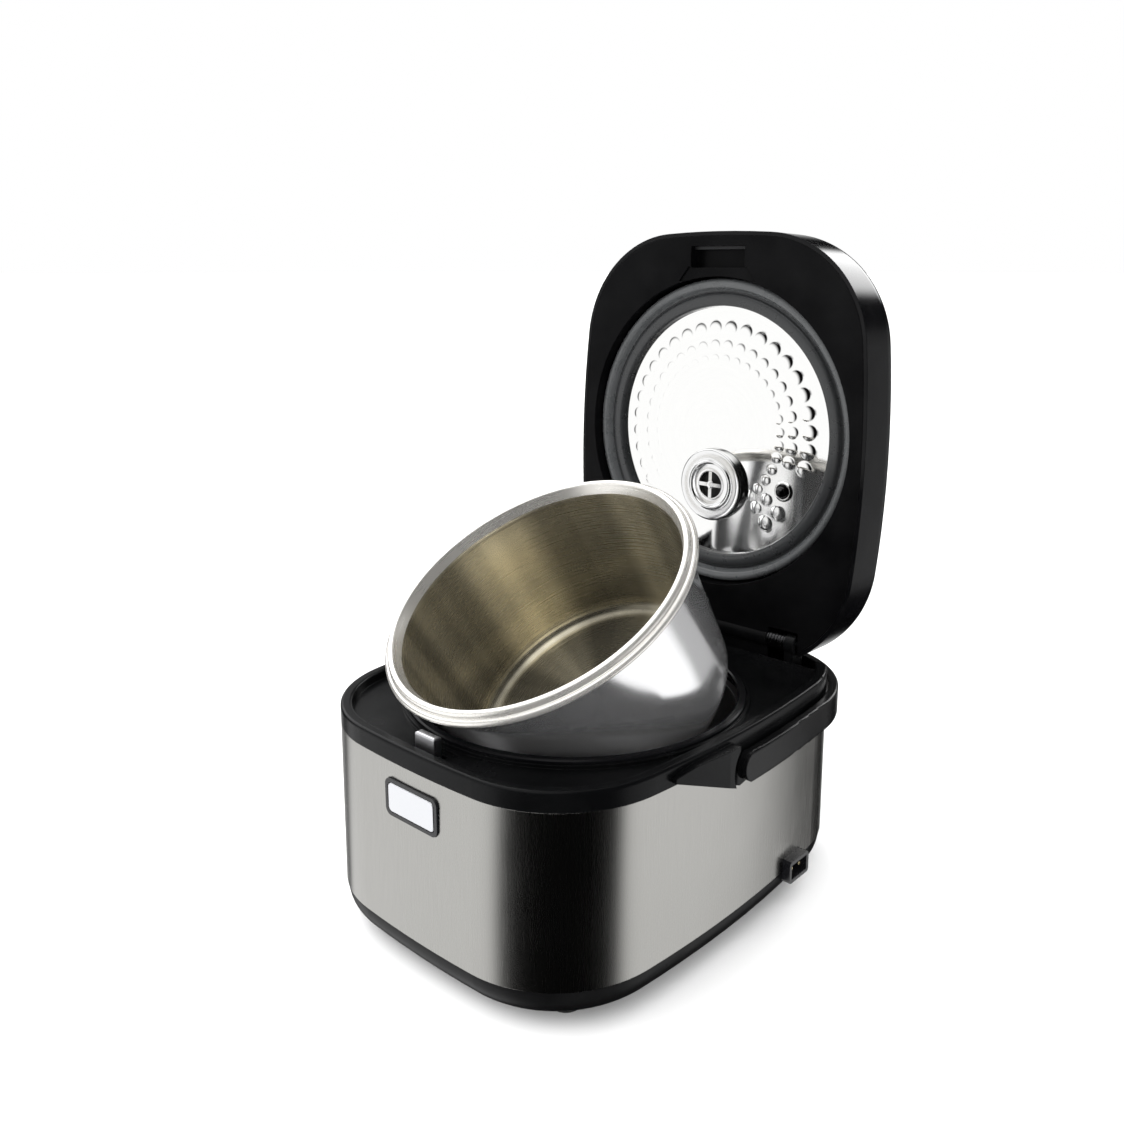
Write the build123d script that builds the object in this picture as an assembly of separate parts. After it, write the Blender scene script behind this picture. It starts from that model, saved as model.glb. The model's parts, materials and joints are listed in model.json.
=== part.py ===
from build123d import *
import os
from math import atan2, cos, degrees, hypot, radians, sin, sqrt

# A multi-function rice cooker: steel-wrapped body, hinged lid held open, and the inner pot
# tipped out of its well so that it leans on the well's rim.
# Millimetres. +Z is up, -Y is the front, +X is the user's right. The origin is on the table,
# under the middle of the whole open cooker.

# ---------------------------------------------------------------- driving dimensions
ORIGIN_Y = 12.425       # the body's own centre stands this far in front of the origin

HALF_W, HALF_D = 134.0, 167.0      # body outline at the top edge of the steel
BASE_W, BASE_D = 132.5, 169.0      # body outline at the bottom edge of the steel
SIDE_R, END_R, CORNER_R = 870.0, 810.0, 82.0   # arcs of the outline: flanks, ends, corners

FOOT_H = 6.0            # underside of the base tray
STEEL_Z0 = 28.0         # bottom edge of the steel wrap
STEEL_Z1 = 140.8        # top edge of the steel wrap
RIM_Z = 153.6           # top of the black rim
DECK_Z = 147.0          # sunken deck inside the rim
RIM_T = 8.0             # width of the rim
SHEET_T = 1.0           # steel wrap thickness

WELL_Y = -17.5          # the well's axis, measured from the body's centre
WELL_R = 112.5          # inside radius of the well liner
SEAT_R = 119.0          # outer radius of the ring that the pot's rim rests on
SEAT_Z = 151.4          # top of that ring
RUN = 0.3               # clearance between pieces that move past each other

POT_RIM_R = 115.0       # outside of the pot's rolled rim
POT_RIM_Z = 160.5       # top of that rim when the pot is seated
POT_DEPTH = 120.0       # rim top to outside of the bottom
POT_WALL_R = 104.5      # outside of the wall under the rim
POT_BASE_R = 99.5       # outside of the wall above the bottom corner
POT_CORNER_R = 15.0
POT_T = 1.8

POT_TILT = 31.5         # how far the pot leans over
POT_TURN = -7.0         # direction of that lean, about the well's axis
TILT_AXIS_R = 146.0     # the lean's axis: distance from the well's axis
TILT_AXIS_Z = 129.3     # and height

HINGE_Y, HINGE_Z = 137.3, 158.8    # lid hinge axis
LID_OPEN = 92.0         # opening angle
PIN_R = 4.0
LID_FACE_Z = 154.2      # underside of the closed lid
LID_TOP_Z = 206.0
LID_FRONT_Y = -172.5    # the lid reaches a little past the body's rim
LID_END_Y = 160.0       # rear end of the lid's outline
LID_REAR_Y = 158.0      # flat at the lid's heel, which cuts that outline
LID_CORNER_R = 88.0
LID_T = 3.0             # shell thickness
LID_ROUND = 20.0        # rounding of the lid's upper edge
CUP_R = 121.0           # round recess in the lid for the seal and the inner plate
CUP_Z = 170.0           # ceiling of that recess
VENT_Y = 42.0           # steam vent, behind the lid plate's centre
VENT_R = 29.0
PROBE_X, PROBE_Y = 62.0, 40.0       # steam sensor, from the lid plate's centre

BUTTON_Z = 118.0
BUTTON_W, BUTTON_H = 43.4, 19.4
BEZEL_W, BEZEL_H = 49.0, 25.0
BUTTON_TRAVEL = 3.5

PLATE_Z = 40.1          # top of the heating plate
SENSOR_R = 16.0
SENSOR_TRAVEL = 4.4

HANDLE_Z0, HANDLE_Z1 = 121.5, 142.0
HANDLE_GAP, HANDLE_T = 1.5, 7.0
PIVOT_Y, PIVOT_Z = -6.0, 131.75

INLET_Y, INLET_Z = 63.0, 28.0
INLET_W, INLET_H = 25.0, 16.0
INLET_X1 = 137.0         # outer face of the inlet
PIN_GAP = 10.0

STEP_DIR = "parts"


# ---------------------------------------------------------------- shared shapes
def outline(half_w, half_d, inset=0.0, corner_r=CORNER_R):
    """Bulged rounded rectangle: eight tangent arcs, moved inwards by inset."""
    flank_x, end_y = half_w - SIDE_R, half_d - END_R
    to_flank, to_end = SIDE_R - corner_r, END_R - corner_r
    gap = hypot(flank_x, end_y)
    along = (to_flank**2 - to_end**2 + gap**2) / (2 * gap)
    across = sqrt(to_flank**2 - along**2)
    ux, uy = -flank_x / gap, end_y / gap
    cx, cy = flank_x + along * ux - across * uy, along * uy + across * ux
    a1 = degrees(atan2(cy, cx - flank_x))
    a2 = degrees(atan2(cy - end_y, cx))
    side, end, corner = SIDE_R - inset, END_R - inset, corner_r - inset
    arcs = [
        CenterArc((flank_x, 0), side, -a1, 2 * a1),
        CenterArc((cx, cy), corner, a1, a2 - a1),
        CenterArc((0, end_y), end, a2, 180 - 2 * a2),
        CenterArc((-cx, cy), corner, 180 - a2, a2 - a1),
        CenterArc((-flank_x, 0), side, 180 - a1, 2 * a1),
        CenterArc((-cx, -cy), corner, 180 + a1, a2 - a1),
        CenterArc((0, -end_y), end, 180 + a2, 180 - 2 * a2),
        CenterArc((cx, -cy), corner, -a2, a2 - a1),
    ]
    return Face(Wire([arc.edge() for arc in arcs]))


def prism(z0, z1, inset=0.0, half_w=HALF_W, half_d=HALF_D):
    """The outline, drawn straight up."""
    return extrude(Pos(0, 0, z0) * outline(half_w, half_d, inset), z1 - z0, dir=(0, 0, 1))


def lid_prism(z0, z1, inset=0.0):
    """The lid's own outline, drawn straight up."""
    face = outline(HALF_W, (LID_END_Y - LID_FRONT_Y) / 2, inset, LID_CORNER_R)
    return extrude(Pos(0, (LID_END_Y + LID_FRONT_Y) / 2, z0) * face, z1 - z0, dir=(0, 0, 1))


def ring_prism(z0, z1, inset0, inset1, half_w=HALF_W, half_d=HALF_D):
    return prism(z0, z1, inset0, half_w, half_d) - prism(z0, z1, inset1, half_w, half_d)


def body_wall(inset0, inset1):
    """A wall that follows the body's slight taper, between two insets."""
    def solid(inset):
        low = Pos(0, 0, STEEL_Z0) * outline(BASE_W, BASE_D, inset)
        high = Pos(0, 0, STEEL_Z1) * outline(HALF_W, HALF_D, inset)
        return loft([low, high], ruled=True)
    return solid(inset0) - solid(inset1)


def block(x0, x1, y0, y1, z0, z1):
    return Pos((x0 + x1) / 2, (y0 + y1) / 2, (z0 + z1) / 2) * Box(x1 - x0, y1 - y0, z1 - z0)


def post(x, y, radius, z0, z1):
    return Pos(x, y, (z0 + z1) / 2) * Cylinder(radius, z1 - z0)


def tube(x, y, outer, inner, z0, z1):
    return post(x, y, outer, z0, z1) - post(x, y, inner, z0, z1)


def bar_x(y, z, radius, x0, x1):
    """A round bar along X."""
    return Pos((x0 + x1) / 2, y, z) * Rot(0, 90, 0) * Cylinder(radius, x1 - x0)


def side_prism(points, x0, x1):
    """A polygon of (y, z) points, drawn along X."""
    face = Plane.YZ * make_face(Polyline(*points, close=True).edges())
    return extrude(Pos(x0, 0, 0) * face, x1 - x0, dir=(1, 0, 0))


def turned(profile, x=0.0, y=0.0):
    """A closed (radius, z) polygon, turned about a vertical axis."""
    face = Plane.XZ * make_face(Polyline(*profile, close=True).edges())
    return Pos(x, y, 0) * revolve(face, Axis.Z, 360)


def round_box(width, height, radius, y0, y1, z):
    """A rounded rectangle facing the front, from y0 to y1."""
    face = Plane.XZ * RectangleRounded(width, height, radius)
    return Pos(0, y0, z) * extrude(face, y0 - y1, dir=(0, -1, 0))


def both_sides(shape):
    return [shape, mirror(shape, Plane.YZ)]


def plus(shape, others):
    for other in others:
        shape = shape + other
    return shape


def minus(shape, others):
    for other in others:
        shape = shape - other
    return shape


# ---------------------------------------------------------------- body: shells and feet
SKIRT_TOE = (-70.0, STEEL_Z1)      # where the black flank starts at the steel's top edge
SKIRT_LOW = (-10.0, 117.0)         # its lowest corner, under the handle's pivot
SKIRT_Z = 121.0                    # its lower edge from there to the back
HEEL_Y = 129.0                     # behind this the body is cut down for the lid's heel
LEDGE_Z = 127.0                    # floor of that cut


def skirt_zone(x0, x1):
    """The part of the flanks and the back that is black plastic instead of steel."""
    points = [SKIRT_TOE, SKIRT_LOW, (14.0, SKIRT_Z), (180.0, SKIRT_Z), (180.0, 141.0), (-70.0, 141.0)]
    return side_prism(points, x0, x1)


def inlet_block():
    half_w, half_h = INLET_W / 2, INLET_H / 2
    return block(112, INLET_X1, INLET_Y - half_w, INLET_Y + half_w, INLET_Z - half_h, INLET_Z + half_h)


def steel_wrap():
    wrap = body_wall(0, SHEET_T) - skirt_zone(-150, 150)
    window = round_box(BEZEL_W + 0.4, BEZEL_H + 0.4, 5.2, -150, -180, BUTTON_Z)
    return minus(wrap, [window, inlet_block()])


FEET = [(x, y) for x in (-84.0, 84.0) for y in (-120.0, 116.0)]
SCREWS = [(x, y) for x in (-100.0, 0.0, 100.0) for y in (-88.0, 88.0)]
TRAY_FLOOR_Z = 9.0
TRAY_ROUND = 19.0


def base_tray():
    outer = prism(FOOT_H, STEEL_Z0, 1.0, BASE_W, BASE_D)
    outer = fillet(outer.faces().sort_by(Axis.Z)[0].edges(), TRAY_ROUND)
    inner = prism(TRAY_FLOOR_Z, STEEL_Z0, 4.0, BASE_W, BASE_D)
    inner = fillet(inner.faces().sort_by(Axis.Z)[0].edges(), TRAY_ROUND - 3)
    tray = outer - inner
    tray += ring_prism(STEEL_Z0, STEEL_Z0 + 9, 2.2, 4.6, BASE_W, BASE_D - 0.6)
    tray += ring_prism(STEEL_Z0 - 3, STEEL_Z0, 2.0, 4.6, BASE_W, BASE_D)
    for x, y in SCREWS:
        tray += post(x, y, 5.0, TRAY_FLOOR_Z, 22)
        tray -= post(x, y, 4.0, FOOT_H - 1, FOOT_H + 2.6)
        tray -= post(x, y, 1.7, FOOT_H - 1, 23)
    for i in range(-5, 6):
        for y in (-60.0, 0.0, 60.0):
            tray -= block(i * 9 - 1.5, i * 9 + 1.5, y - 17, y + 17, FOOT_H - 1, TRAY_FLOOR_Z + 1)
    return tray - inlet_block()


def rubber_feet():
    foot = turned([(0, 0), (11, 0), (13, 2), (13, FOOT_H), (0, FOOT_H)])
    return [Pos(x, y, 0) * foot for x, y in FEET]


def base_screws():
    screw = Cylinder(3.6, 2.2, align=(Align.CENTER, Align.CENTER, Align.MIN))
    screw -= Box(5, 0.9, 1.6)
    screw -= Box(0.9, 5, 1.6)
    screw += Pos(0, 0, 2.2) * Cylinder(1.65, 11, align=(Align.CENTER, Align.CENTER, Align.MIN))
    return [Pos(x, y, FOOT_H + 0.4) * screw for x, y in SCREWS]


def fairing(x_sign):
    """The flank swells out to meet the handle's arm, and stops at a round notch in front of it."""
    plan = Polyline((131, -78), (134.4, -78), (140.5, -31), (140.5, -20), (131, -20), close=True)
    shape = extrude(Pos(0, 0, 110) * make_face(plan.edges()), 40, dir=(0, 0, 1))
    shape &= side_prism([(-78, 144), SKIRT_LOW, (-10, 149.5), (-60, 149.5), (-78, 147)], 130, 145)
    shape -= bar_x(PIVOT_Y, PIVOT_Z, 20.0, 134.2, 150)
    return shape if x_sign > 0 else mirror(shape, Plane.YZ)


LUG_X0, LUG_X1 = 78.0, 86.0


def hinge_lug():
    lug = bar_x(HINGE_Y, HINGE_Z, 8.0, LUG_X0, LUG_X1)
    lug += block(LUG_X0, LUG_X1, HINGE_Y - 6.5, HINGE_Y + 6.5, LEDGE_Z - 1, HINGE_Z)
    return lug - bar_x(HINGE_Y, HINGE_Z, PIN_R, LUG_X0 - 1, LUG_X1 + 1)


HOOK_W = 18.0
HOOK_Y0, HOOK_Y1 = -156.0, -150.0


def deck_frame():
    rim = ring_prism(STEEL_Z1, RIM_Z, 0, RIM_T)
    rim = fillet(rim.faces().sort_by(Axis.Z)[-1].edges(), 2.0)
    deck = prism(DECK_Z - 4, DECK_Z, RIM_T - 1) - post(0, WELL_Y, SEAT_R + RUN, 140, 160)
    collar = tube(0, WELL_Y, SEAT_R + RUN + 2.5, SEAT_R + RUN, DECK_Z - 8, DECK_Z + 2.4)
    frame = rim + deck + collar
    frame += ring_prism(STEEL_Z1 - 12, STEEL_Z1, 1.4, 4.0)
    frame -= block(-150, 150, HEEL_Y, 180, LEDGE_Z, 160)
    frame += body_wall(0, 4.0) & skirt_zone(-150, 150) & block(-150, 150, -80, HEEL_Y, 110, STEEL_Z1)
    frame += body_wall(0, 4.0) & skirt_zone(-150, 150) & block(-150, 150, HEEL_Y - 1, 180, 110, LEDGE_Z)
    ledge = prism(LEDGE_Z - 3, LEDGE_Z, 1.5) & block(-150, 150, HEEL_Y - 3, 180, 100, 160)
    bulkhead = prism(LEDGE_Z - 3, DECK_Z, 1.5) & block(-150, 150, HEEL_Y - 3, HEEL_Y, 100, 160)
    frame = frame + ledge + bulkhead + fairing(1) + fairing(-1)
    frame = plus(frame, both_sides(hinge_lug()))
    frame -= post(0, WELL_Y, WELL_R + 1.4, 100, DECK_Z - 8)
    frame -= block(-16, 16, -159.3, -142, DECK_Z - 1.6, 160)
    frame -= block(-HOOK_W / 2 - 1, HOOK_W / 2 + 1, HOOK_Y0 - 0.6, HOOK_Y1 + BUTTON_TRAVEL + 0.6, 130, 160)
    for x0 in (-140.0, 128.0):
        frame -= bar_x(PIVOT_Y, PIVOT_Z, 5.0, x0, x0 + 12)
    return frame


def seat_ring():
    """Ring around the well's mouth, round all the way, that the pot's rim rests on."""
    r0, r1 = WELL_R + 0.7, SEAT_R
    return turned([(r0, 147.6), (r1, 147.6), (r1, SEAT_Z - 1), (r1 - 1, SEAT_Z), (r0 + 1, SEAT_Z),
                   (r0, SEAT_Z - 1)], 0, WELL_Y)


LINER_Z0, LINER_Z1 = 22.5, 147.2


def well_liner():
    r0, r1 = WELL_R, WELL_R + 1.0
    profile = [(14, LINER_Z0), (r1, LINER_Z0), (r1, LINER_Z1 - 8.5), (r1 + 4, LINER_Z1 - 8.5),
               (r1 + 4, LINER_Z1 - 7.5), (r0, LINER_Z1 - 7.5), (r0, LINER_Z0 + 1), (14, LINER_Z0 + 1)]
    return turned(profile, 0, WELL_Y)


# ---------------------------------------------------------------- body: heating and electrics
def heating_plate():
    disc = turned([(SENSOR_R + 1, PLATE_Z - 8), (90, PLATE_Z - 8), (95, PLATE_Z - 4), (95, PLATE_Z - 1),
                   (94, PLATE_Z), (SENSOR_R + 1, PLATE_Z)], 0, WELL_Y)
    for i in range(3):
        angle = radians(90 + 120 * i)
        disc += post(80 * cos(angle), WELL_Y + 80 * sin(angle), 5, LINER_Z0 + 1, PLATE_Z - 7)
    return disc


def heating_element():
    ring_z = PLATE_Z - 8 - 3.2
    element = Pos(0, WELL_Y, ring_z) * Torus(58, 3.2)
    for x in (-8.0, 8.0):
        element += Pos(x, WELL_Y + 64, ring_z) * Rot(90, 0, 0) * Cylinder(2.4, 14)
    return element


SENSOR_TOP_Z = PLATE_Z + SENSOR_TRAVEL


def thermostat_sensor():
    cap = turned([(0, SENSOR_TOP_Z), (SENSOR_R - 1, SENSOR_TOP_Z), (SENSOR_R, SENSOR_TOP_Z - 1),
                  (SENSOR_R, SENSOR_TOP_Z - 7), (SENSOR_R - 1.2, SENSOR_TOP_Z - 7),
                  (SENSOR_R - 1.2, SENSOR_TOP_Z - 1.5), (0, SENSOR_TOP_Z - 1.5)], 0, WELL_Y)
    return cap + post(0, WELL_Y, 5, SENSOR_TOP_Z - 26, SENSOR_TOP_Z - 1)


SPRING_Z0 = LINER_Z0 + 3.5


def sensor_guide():
    """Bush in the well's floor that the sensor's stem slides through."""
    z0, z1 = LINER_Z0 - 6, LINER_Z0 + 3.5
    return turned([(5.3, z0), (9, z0), (9, LINER_Z0 - 1), (17, LINER_Z0 - 1), (17, LINER_Z0),
                   (13.8, LINER_Z0), (13.8, z1), (5.3, z1)], 0, WELL_Y)


def coil(radius, wire, pitch, turns, place):
    path = Helix(pitch, pitch * turns, radius)
    section = Plane(origin=path @ 0, z_dir=path % 0) * Circle(wire)
    return place * sweep(section, path)


def sensor_spring():
    length = SENSOR_TOP_Z - 1.6 - SPRING_Z0
    return coil(8.0, 0.6, (length - 1.4) / 6, 6, Pos(0, WELL_Y, SPRING_Z0 + 0.7))


def power_board():
    y0 = -152.0
    board = block(-62, 62, y0, y0 + 1.6, 40, 96)
    for x, wide, deep, z0, z1 in ((-46, 18, 13, 46, 66), (-22, 15, 11, 44, 60), (26, 26, 12, 46, 72),
                                  (50, 12, 10, 74, 90), (-46, 14, 9, 74, 90)):
        board += block(x - wide / 2, x + wide / 2, y0 + 1.5, y0 + 1.5 + min(deep, 13), z0, z1)
    for x in (-2.0, 4.0):
        board += Pos(x, y0 + 7, 80) * Rot(90, 0, 0) * Cylinder(2.6, 11)
    return board


def power_inlet():
    inlet = inlet_block()
    cavity = block(122, 140, INLET_Y - 9.7, INLET_Y + 9.7, INLET_Z - 5.3, INLET_Z + 5.3)
    return fillet(inlet.edges().filter_by(Axis.X), 2.5) - cavity


def inlet_pins():
    return [bar_x(INLET_Y + y, INLET_Z, 1.2, 122, INLET_X1 - 3) for y in (-PIN_GAP / 2, PIN_GAP / 2)]


# ---------------------------------------------------------------- body: button and latch
FACE_Y = -(HALF_D + (BASE_D - HALF_D) * (STEEL_Z1 - BUTTON_Z) / (STEEL_Z1 - STEEL_Z0))
BUTTON_Y1 = -158.0


def button_bezel():
    lip = round_box(BEZEL_W, BEZEL_H, 5, FACE_Y + 0.6, FACE_Y - 1.0, BUTTON_Z)
    sleeve = round_box(BEZEL_W - 3.4, BEZEL_H - 3.4, 3.8, BUTTON_Y1 + 1, FACE_Y, BUTTON_Z)
    opening = round_box(BUTTON_W + 2 * RUN, BUTTON_H + 2 * RUN, 3.6, BUTTON_Y1 + 2, FACE_Y - 2, BUTTON_Z)
    return lip + sleeve - opening


def release_button():
    button = round_box(BUTTON_W, BUTTON_H, 3.3, BUTTON_Y1 - 5, FACE_Y - 1.2, BUTTON_Z)
    button = fillet(button.faces().sort_by(Axis.Y)[0].edges(), 0.8)
    plunger = Pos(0, (BUTTON_Y1 - 5 + HOOK_Y0 - 2) / 2 - 0.5, BUTTON_Z) * Rot(90, 0, 0)
    return button + plunger * Cylinder(4, HOOK_Y0 - 2 - BUTTON_Y1 + 6)


def latch_hook():
    """Sliding catch: the button pushes its foot, and its head stands up through the deck."""
    foot = block(-12, 12, HOOK_Y0 - 1.5, HOOK_Y1, BUTTON_Z - 9, BUTTON_Z + 9)
    stem = block(-HOOK_W / 2, HOOK_W / 2, HOOK_Y0, HOOK_Y1, BUTTON_Z, 160.5)
    head = fillet(stem.faces().sort_by(Axis.Z)[-1].edges(), 1.5)
    return foot + head


def latch_guide():
    """Channel under the deck, open at the back, that the catch slides in."""
    guide = block(-16, 16, HOOK_Y0 - 1, -137, BUTTON_Z - 14, BUTTON_Z + 12)
    guide -= block(-12 - RUN, 12 + RUN, -170, -141, BUTTON_Z - 9 - RUN, BUTTON_Z + 20)
    return guide


def latch_spring():
    rear = -141.0
    front = HOOK_Y1 + 0.2
    length = rear - front
    turn = Pos(0, front + 0.7, BUTTON_Z) * Rot(-90, 0, 0)
    return coil(4.0, 0.5, (length - 1.4) / 5, 5, turn)


# ---------------------------------------------------------------- body: hinge hardware and handle
def hinge_pin():
    return bar_x(HINGE_Y, HINGE_Z, PIN_R, -LUG_X1 - 1.5, LUG_X1 + 1.5)


def hinge_springs():
    """Close-wound torsion springs on the pin, one beside each lug."""
    spring = bar_x(HINGE_Y, HINGE_Z, 7.0, 62, 77.5) - bar_x(HINGE_Y, HINGE_Z, PIN_R + 0.4, 61, 78)
    for i in range(6):
        x = 62 + 2.6 * (i + 0.5)
        groove = bar_x(HINGE_Y, HINGE_Z, 7.5, x - 0.3, x + 0.3) - bar_x(HINGE_Y, HINGE_Z, 6.2, x - 1, x + 1)
        spring -= groove
    return both_sides(spring)


def carry_handle():
    gap, thick = HANDLE_GAP, HANDLE_T
    bail = ring_prism(HANDLE_Z0, HANDLE_Z1, -gap - thick, -gap)
    bail = fillet(bail.edges().filter_by(GeomType.CIRCLE).filter_by(lambda e: e.length > 60), 1.6)
    radius = (HANDLE_Z1 - HANDLE_Z0) / 2
    keep = block(-160, 160, PIVOT_Y, 190, 110, 160) + bar_x(PIVOT_Y, PIVOT_Z, radius, -160, 160)
    bail = bail & keep
    for x0 in (-138.2, 130.0):
        bail -= bar_x(PIVOT_Y, PIVOT_Z, 5.06, x0, x0 + 8.2)
    return bail


def handle_pivots():
    return both_sides(bar_x(PIVOT_Y, PIVOT_Z, 5.0, 127, 138.0) + bar_x(PIVOT_Y, PIVOT_Z, 8.0, 124, 127))


# ---------------------------------------------------------------- lid, drawn closed
def lid_profile(inset):
    """Side view of the lid: flat top, a full round down to the heel and a smaller one in front."""
    rear = LID_REAR_Y - inset
    front = LID_FRONT_Y + inset
    top = LID_TOP_Z - inset
    z0 = LID_FACE_Z - 1
    shoulder = LID_FACE_Z + 5.8
    rear_run, front_run = 60.0 - inset, 42.0 - inset
    rise_rear, rise_front = top - shoulder, 32.0 - inset
    rear_arc = EllipticalCenterArc((rear - rear_run, shoulder), rear_run, rise_rear, start_angle=0, arc_size=90)
    front_arc = EllipticalCenterArc((front + front_run, top - rise_front), front_run, rise_front,
                                    start_angle=90, arc_size=90)
    edges = [
        Line((front, z0), (rear, z0)),
        Line((rear, z0), (rear, shoulder)),
        rear_arc,
        Line((rear - rear_run, top), (front + front_run, top)),
        front_arc,
        Line((front, top - rise_front), (front, z0)),
    ]
    face = Plane.YZ * Face(Wire([edge.edge() for edge in edges]))
    return extrude(Pos(-150, 0, 0) * face, 300, dir=(1, 0, 0))


def lid_solid(inset, round_r):
    top = LID_TOP_Z - inset
    side = lid_prism(LID_FACE_Z, top, inset)
    side = fillet(side.faces().sort_by(Axis.Z)[-1].edges(), round_r)
    return side & lid_profile(inset)


SLOT_X0, SLOT_X1 = 61.0, 88.0
VALVE_Y, VALVE_R = 62.0, 20.0
PANEL_Y, PANEL_W, PANEL_D, PANEL_T = -72.0, 104.0, 66.0, 2.0
CATCH_W, CATCH_Y0, CATCH_Y1 = 50.0, -161.5, -145.0


def hinge_slots():
    slot = block(SLOT_X0, SLOT_X1, HINGE_Y - 10.5, 175, 150, HINGE_Z + 9.2)
    return both_sides(slot)


def lid_cover():
    cover = lid_solid(0, LID_ROUND) - lid_solid(LID_T, LID_ROUND - LID_T)
    cover -= block(-150, 150, -180, 180, LID_FACE_Z - 2, LID_FACE_Z)
    cover = minus(cover, hinge_slots())
    cup = LID_TOP_Z - 18
    cover -= post(0, VALVE_Y, VALVE_R + RUN, cup, 230)
    cover += tube(0, VALVE_Y, VALVE_R + RUN + 2, VALVE_R + RUN, cup, LID_TOP_Z - 1)
    cover += tube(0, VALVE_Y, VALVE_R + RUN + 2, 6, cup - 2, cup)
    half_w, half_d = PANEL_W / 2, PANEL_D / 2
    cover -= block(-half_w, half_w, PANEL_Y - half_d, PANEL_Y + half_d, LID_TOP_Z - PANEL_T, 230)
    return cover


def lid_liner():
    """Inner face of the lid: face plate, round recess, hinge barrel and the catch's slot."""
    face = lid_prism(LID_FACE_Z, LID_FACE_Z + 3, LID_T + 0.2)
    face &= block(-150, 150, -180, LID_REAR_Y - 3.2, 150, 160)
    liner = face - post(0, WELL_Y, CUP_R, 150, 160)
    liner += tube(0, WELL_Y, CUP_R + 2.5, CUP_R, LID_FACE_Z, CUP_Z + 2)
    cup_top = post(0, WELL_Y, CUP_R + 1, CUP_Z, CUP_Z + 2)
    vent_hole = post(0, WELL_Y + VENT_Y, 27.2, 160, 180)
    cup_top = minus(cup_top, [vent_hole, post(PROBE_X, WELL_Y + PROBE_Y, 7, 160, 180)])
    liner += cup_top
    liner = minus(liner, hinge_slots())
    barrel = bar_x(HINGE_Y, HINGE_Z, 7.0, -61, 61)
    web = block(-61, 61, HINGE_Y - 7, HINGE_Y + 7, LID_FACE_Z, HINGE_Z)
    liner = liner + barrel + web - bar_x(HINGE_Y, HINGE_Z, PIN_R + 0.06, -62, 62)
    half = CATCH_W / 2
    liner -= block(-half, half, CATCH_Y0, CATCH_Y1, 150, 160)
    scoop = Polyline((-half - 2, CATCH_Y1 - 1), (half + 2, CATCH_Y1 - 1), (36, -134.5), (-36, -134.5), close=True)
    liner -= extrude(Pos(0, 0, LID_FACE_Z - 1) * make_face(scoop.edges()), 2.4, dir=(0, 0, 1))
    pocket = block(-half - 2, half + 2, CATCH_Y0 - 2, CATCH_Y1 + 2, LID_FACE_Z + 3, LID_FACE_Z + 12)
    pocket -= block(-half, half, CATCH_Y0, CATCH_Y1, 150, LID_FACE_Z + 10)
    return liner + pocket


def lid_catch():
    """Steel keeper across the front of the catch's slot."""
    return block(-CATCH_W / 2, CATCH_W / 2, CATCH_Y0, CATCH_Y0 + 2.4, LID_FACE_Z + 5, LID_FACE_Z + 9.5)


PLATE_EDGE_Z = 168.0
PLATE_DOME = 6.0


def plate_z(radius):
    """Underside of the inner plate, which sags towards the pot at its middle."""
    return PLATE_EDGE_Z - PLATE_DOME * (1 - (radius / 98.0) ** 2)


def inner_plate():
    dome_r = (98.0**2 + PLATE_DOME**2) / (2 * PLATE_DOME)
    centre_z = PLATE_EDGE_Z - PLATE_DOME + dome_r
    ball = Pos(0, WELL_Y, centre_z) * (Sphere(dome_r) - Sphere(dome_r - 1.0))
    dome = ball & post(0, WELL_Y, 98.0, 150, PLATE_EDGE_Z + 1)
    flange = tube(0, WELL_Y, 118.5, 97.2, PLATE_EDGE_Z, PLATE_EDGE_Z + 1)
    plate = dome + flange
    plate -= post(0, WELL_Y + VENT_Y, 25.3, 150, 180)
    return plate - post(PROBE_X, WELL_Y + PROBE_Y, 6.8, 150, 180)


def lid_gasket():
    """Soft seal: a tall crest that meets the pot's rim, a groove, and a lip over the plate's edge."""
    profile = [(98.4, 164.6), (101.5, 163.4), (107.5, 163.9), (109.0, 166.2), (111.2, 166.2),
               (112.8, 162.4), (115.0, 160.9), (117.6, 161.0), (119.2, 162.4), (120.4, 167.9),
               (98.4, 167.9)]
    return turned(profile, 0, WELL_Y)


def vent_cap():
    """Round cap over the steam outlet, with four quarter slots in its raised middle."""
    y = WELL_Y + VENT_Y
    low = plate_z(VENT_Y) - 0.4
    front = low - 9.5
    body = turned([(0, front), (9.6, front), (10.6, front + 1.9), (18.2, front + 1.9),
                   (19.75, front + 0.7), (20.6, low - 4.2), (27.5, low - 3.4), (VENT_R, low - 1.8),
                   (VENT_R, low - 0.6), (25, low - 0.6), (25, 171.5), (0, 171.5)], 0, y)
    slots = Pos(0, y, front + 3) * (Cylinder(8.6, 10) - Cylinder(3.0, 10))
    spokes = Pos(0, y, front + 3) * (Box(30, 2.0, 20) + Box(2.0, 30, 20))
    return body - (slots - spokes) - post(0, y, 18.0, front + 3.6, 175)


def vent_seal():
    y = WELL_Y + VENT_Y
    return tube(0, y, 27.0, 25.2, PLATE_EDGE_Z + 1.2, 175)


def lid_sensor():
    """Steam temperature sensor that looks through a hole in the plate."""
    y = WELL_Y + PROBE_Y
    probe = post(PROBE_X, y, 4.2, 162.5, 178) + Pos(PROBE_X, y, 162.5) * Sphere(4.2)
    return probe + tube(PROBE_X, y, 6.6, 4.0, 166.5, 169.5)


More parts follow.
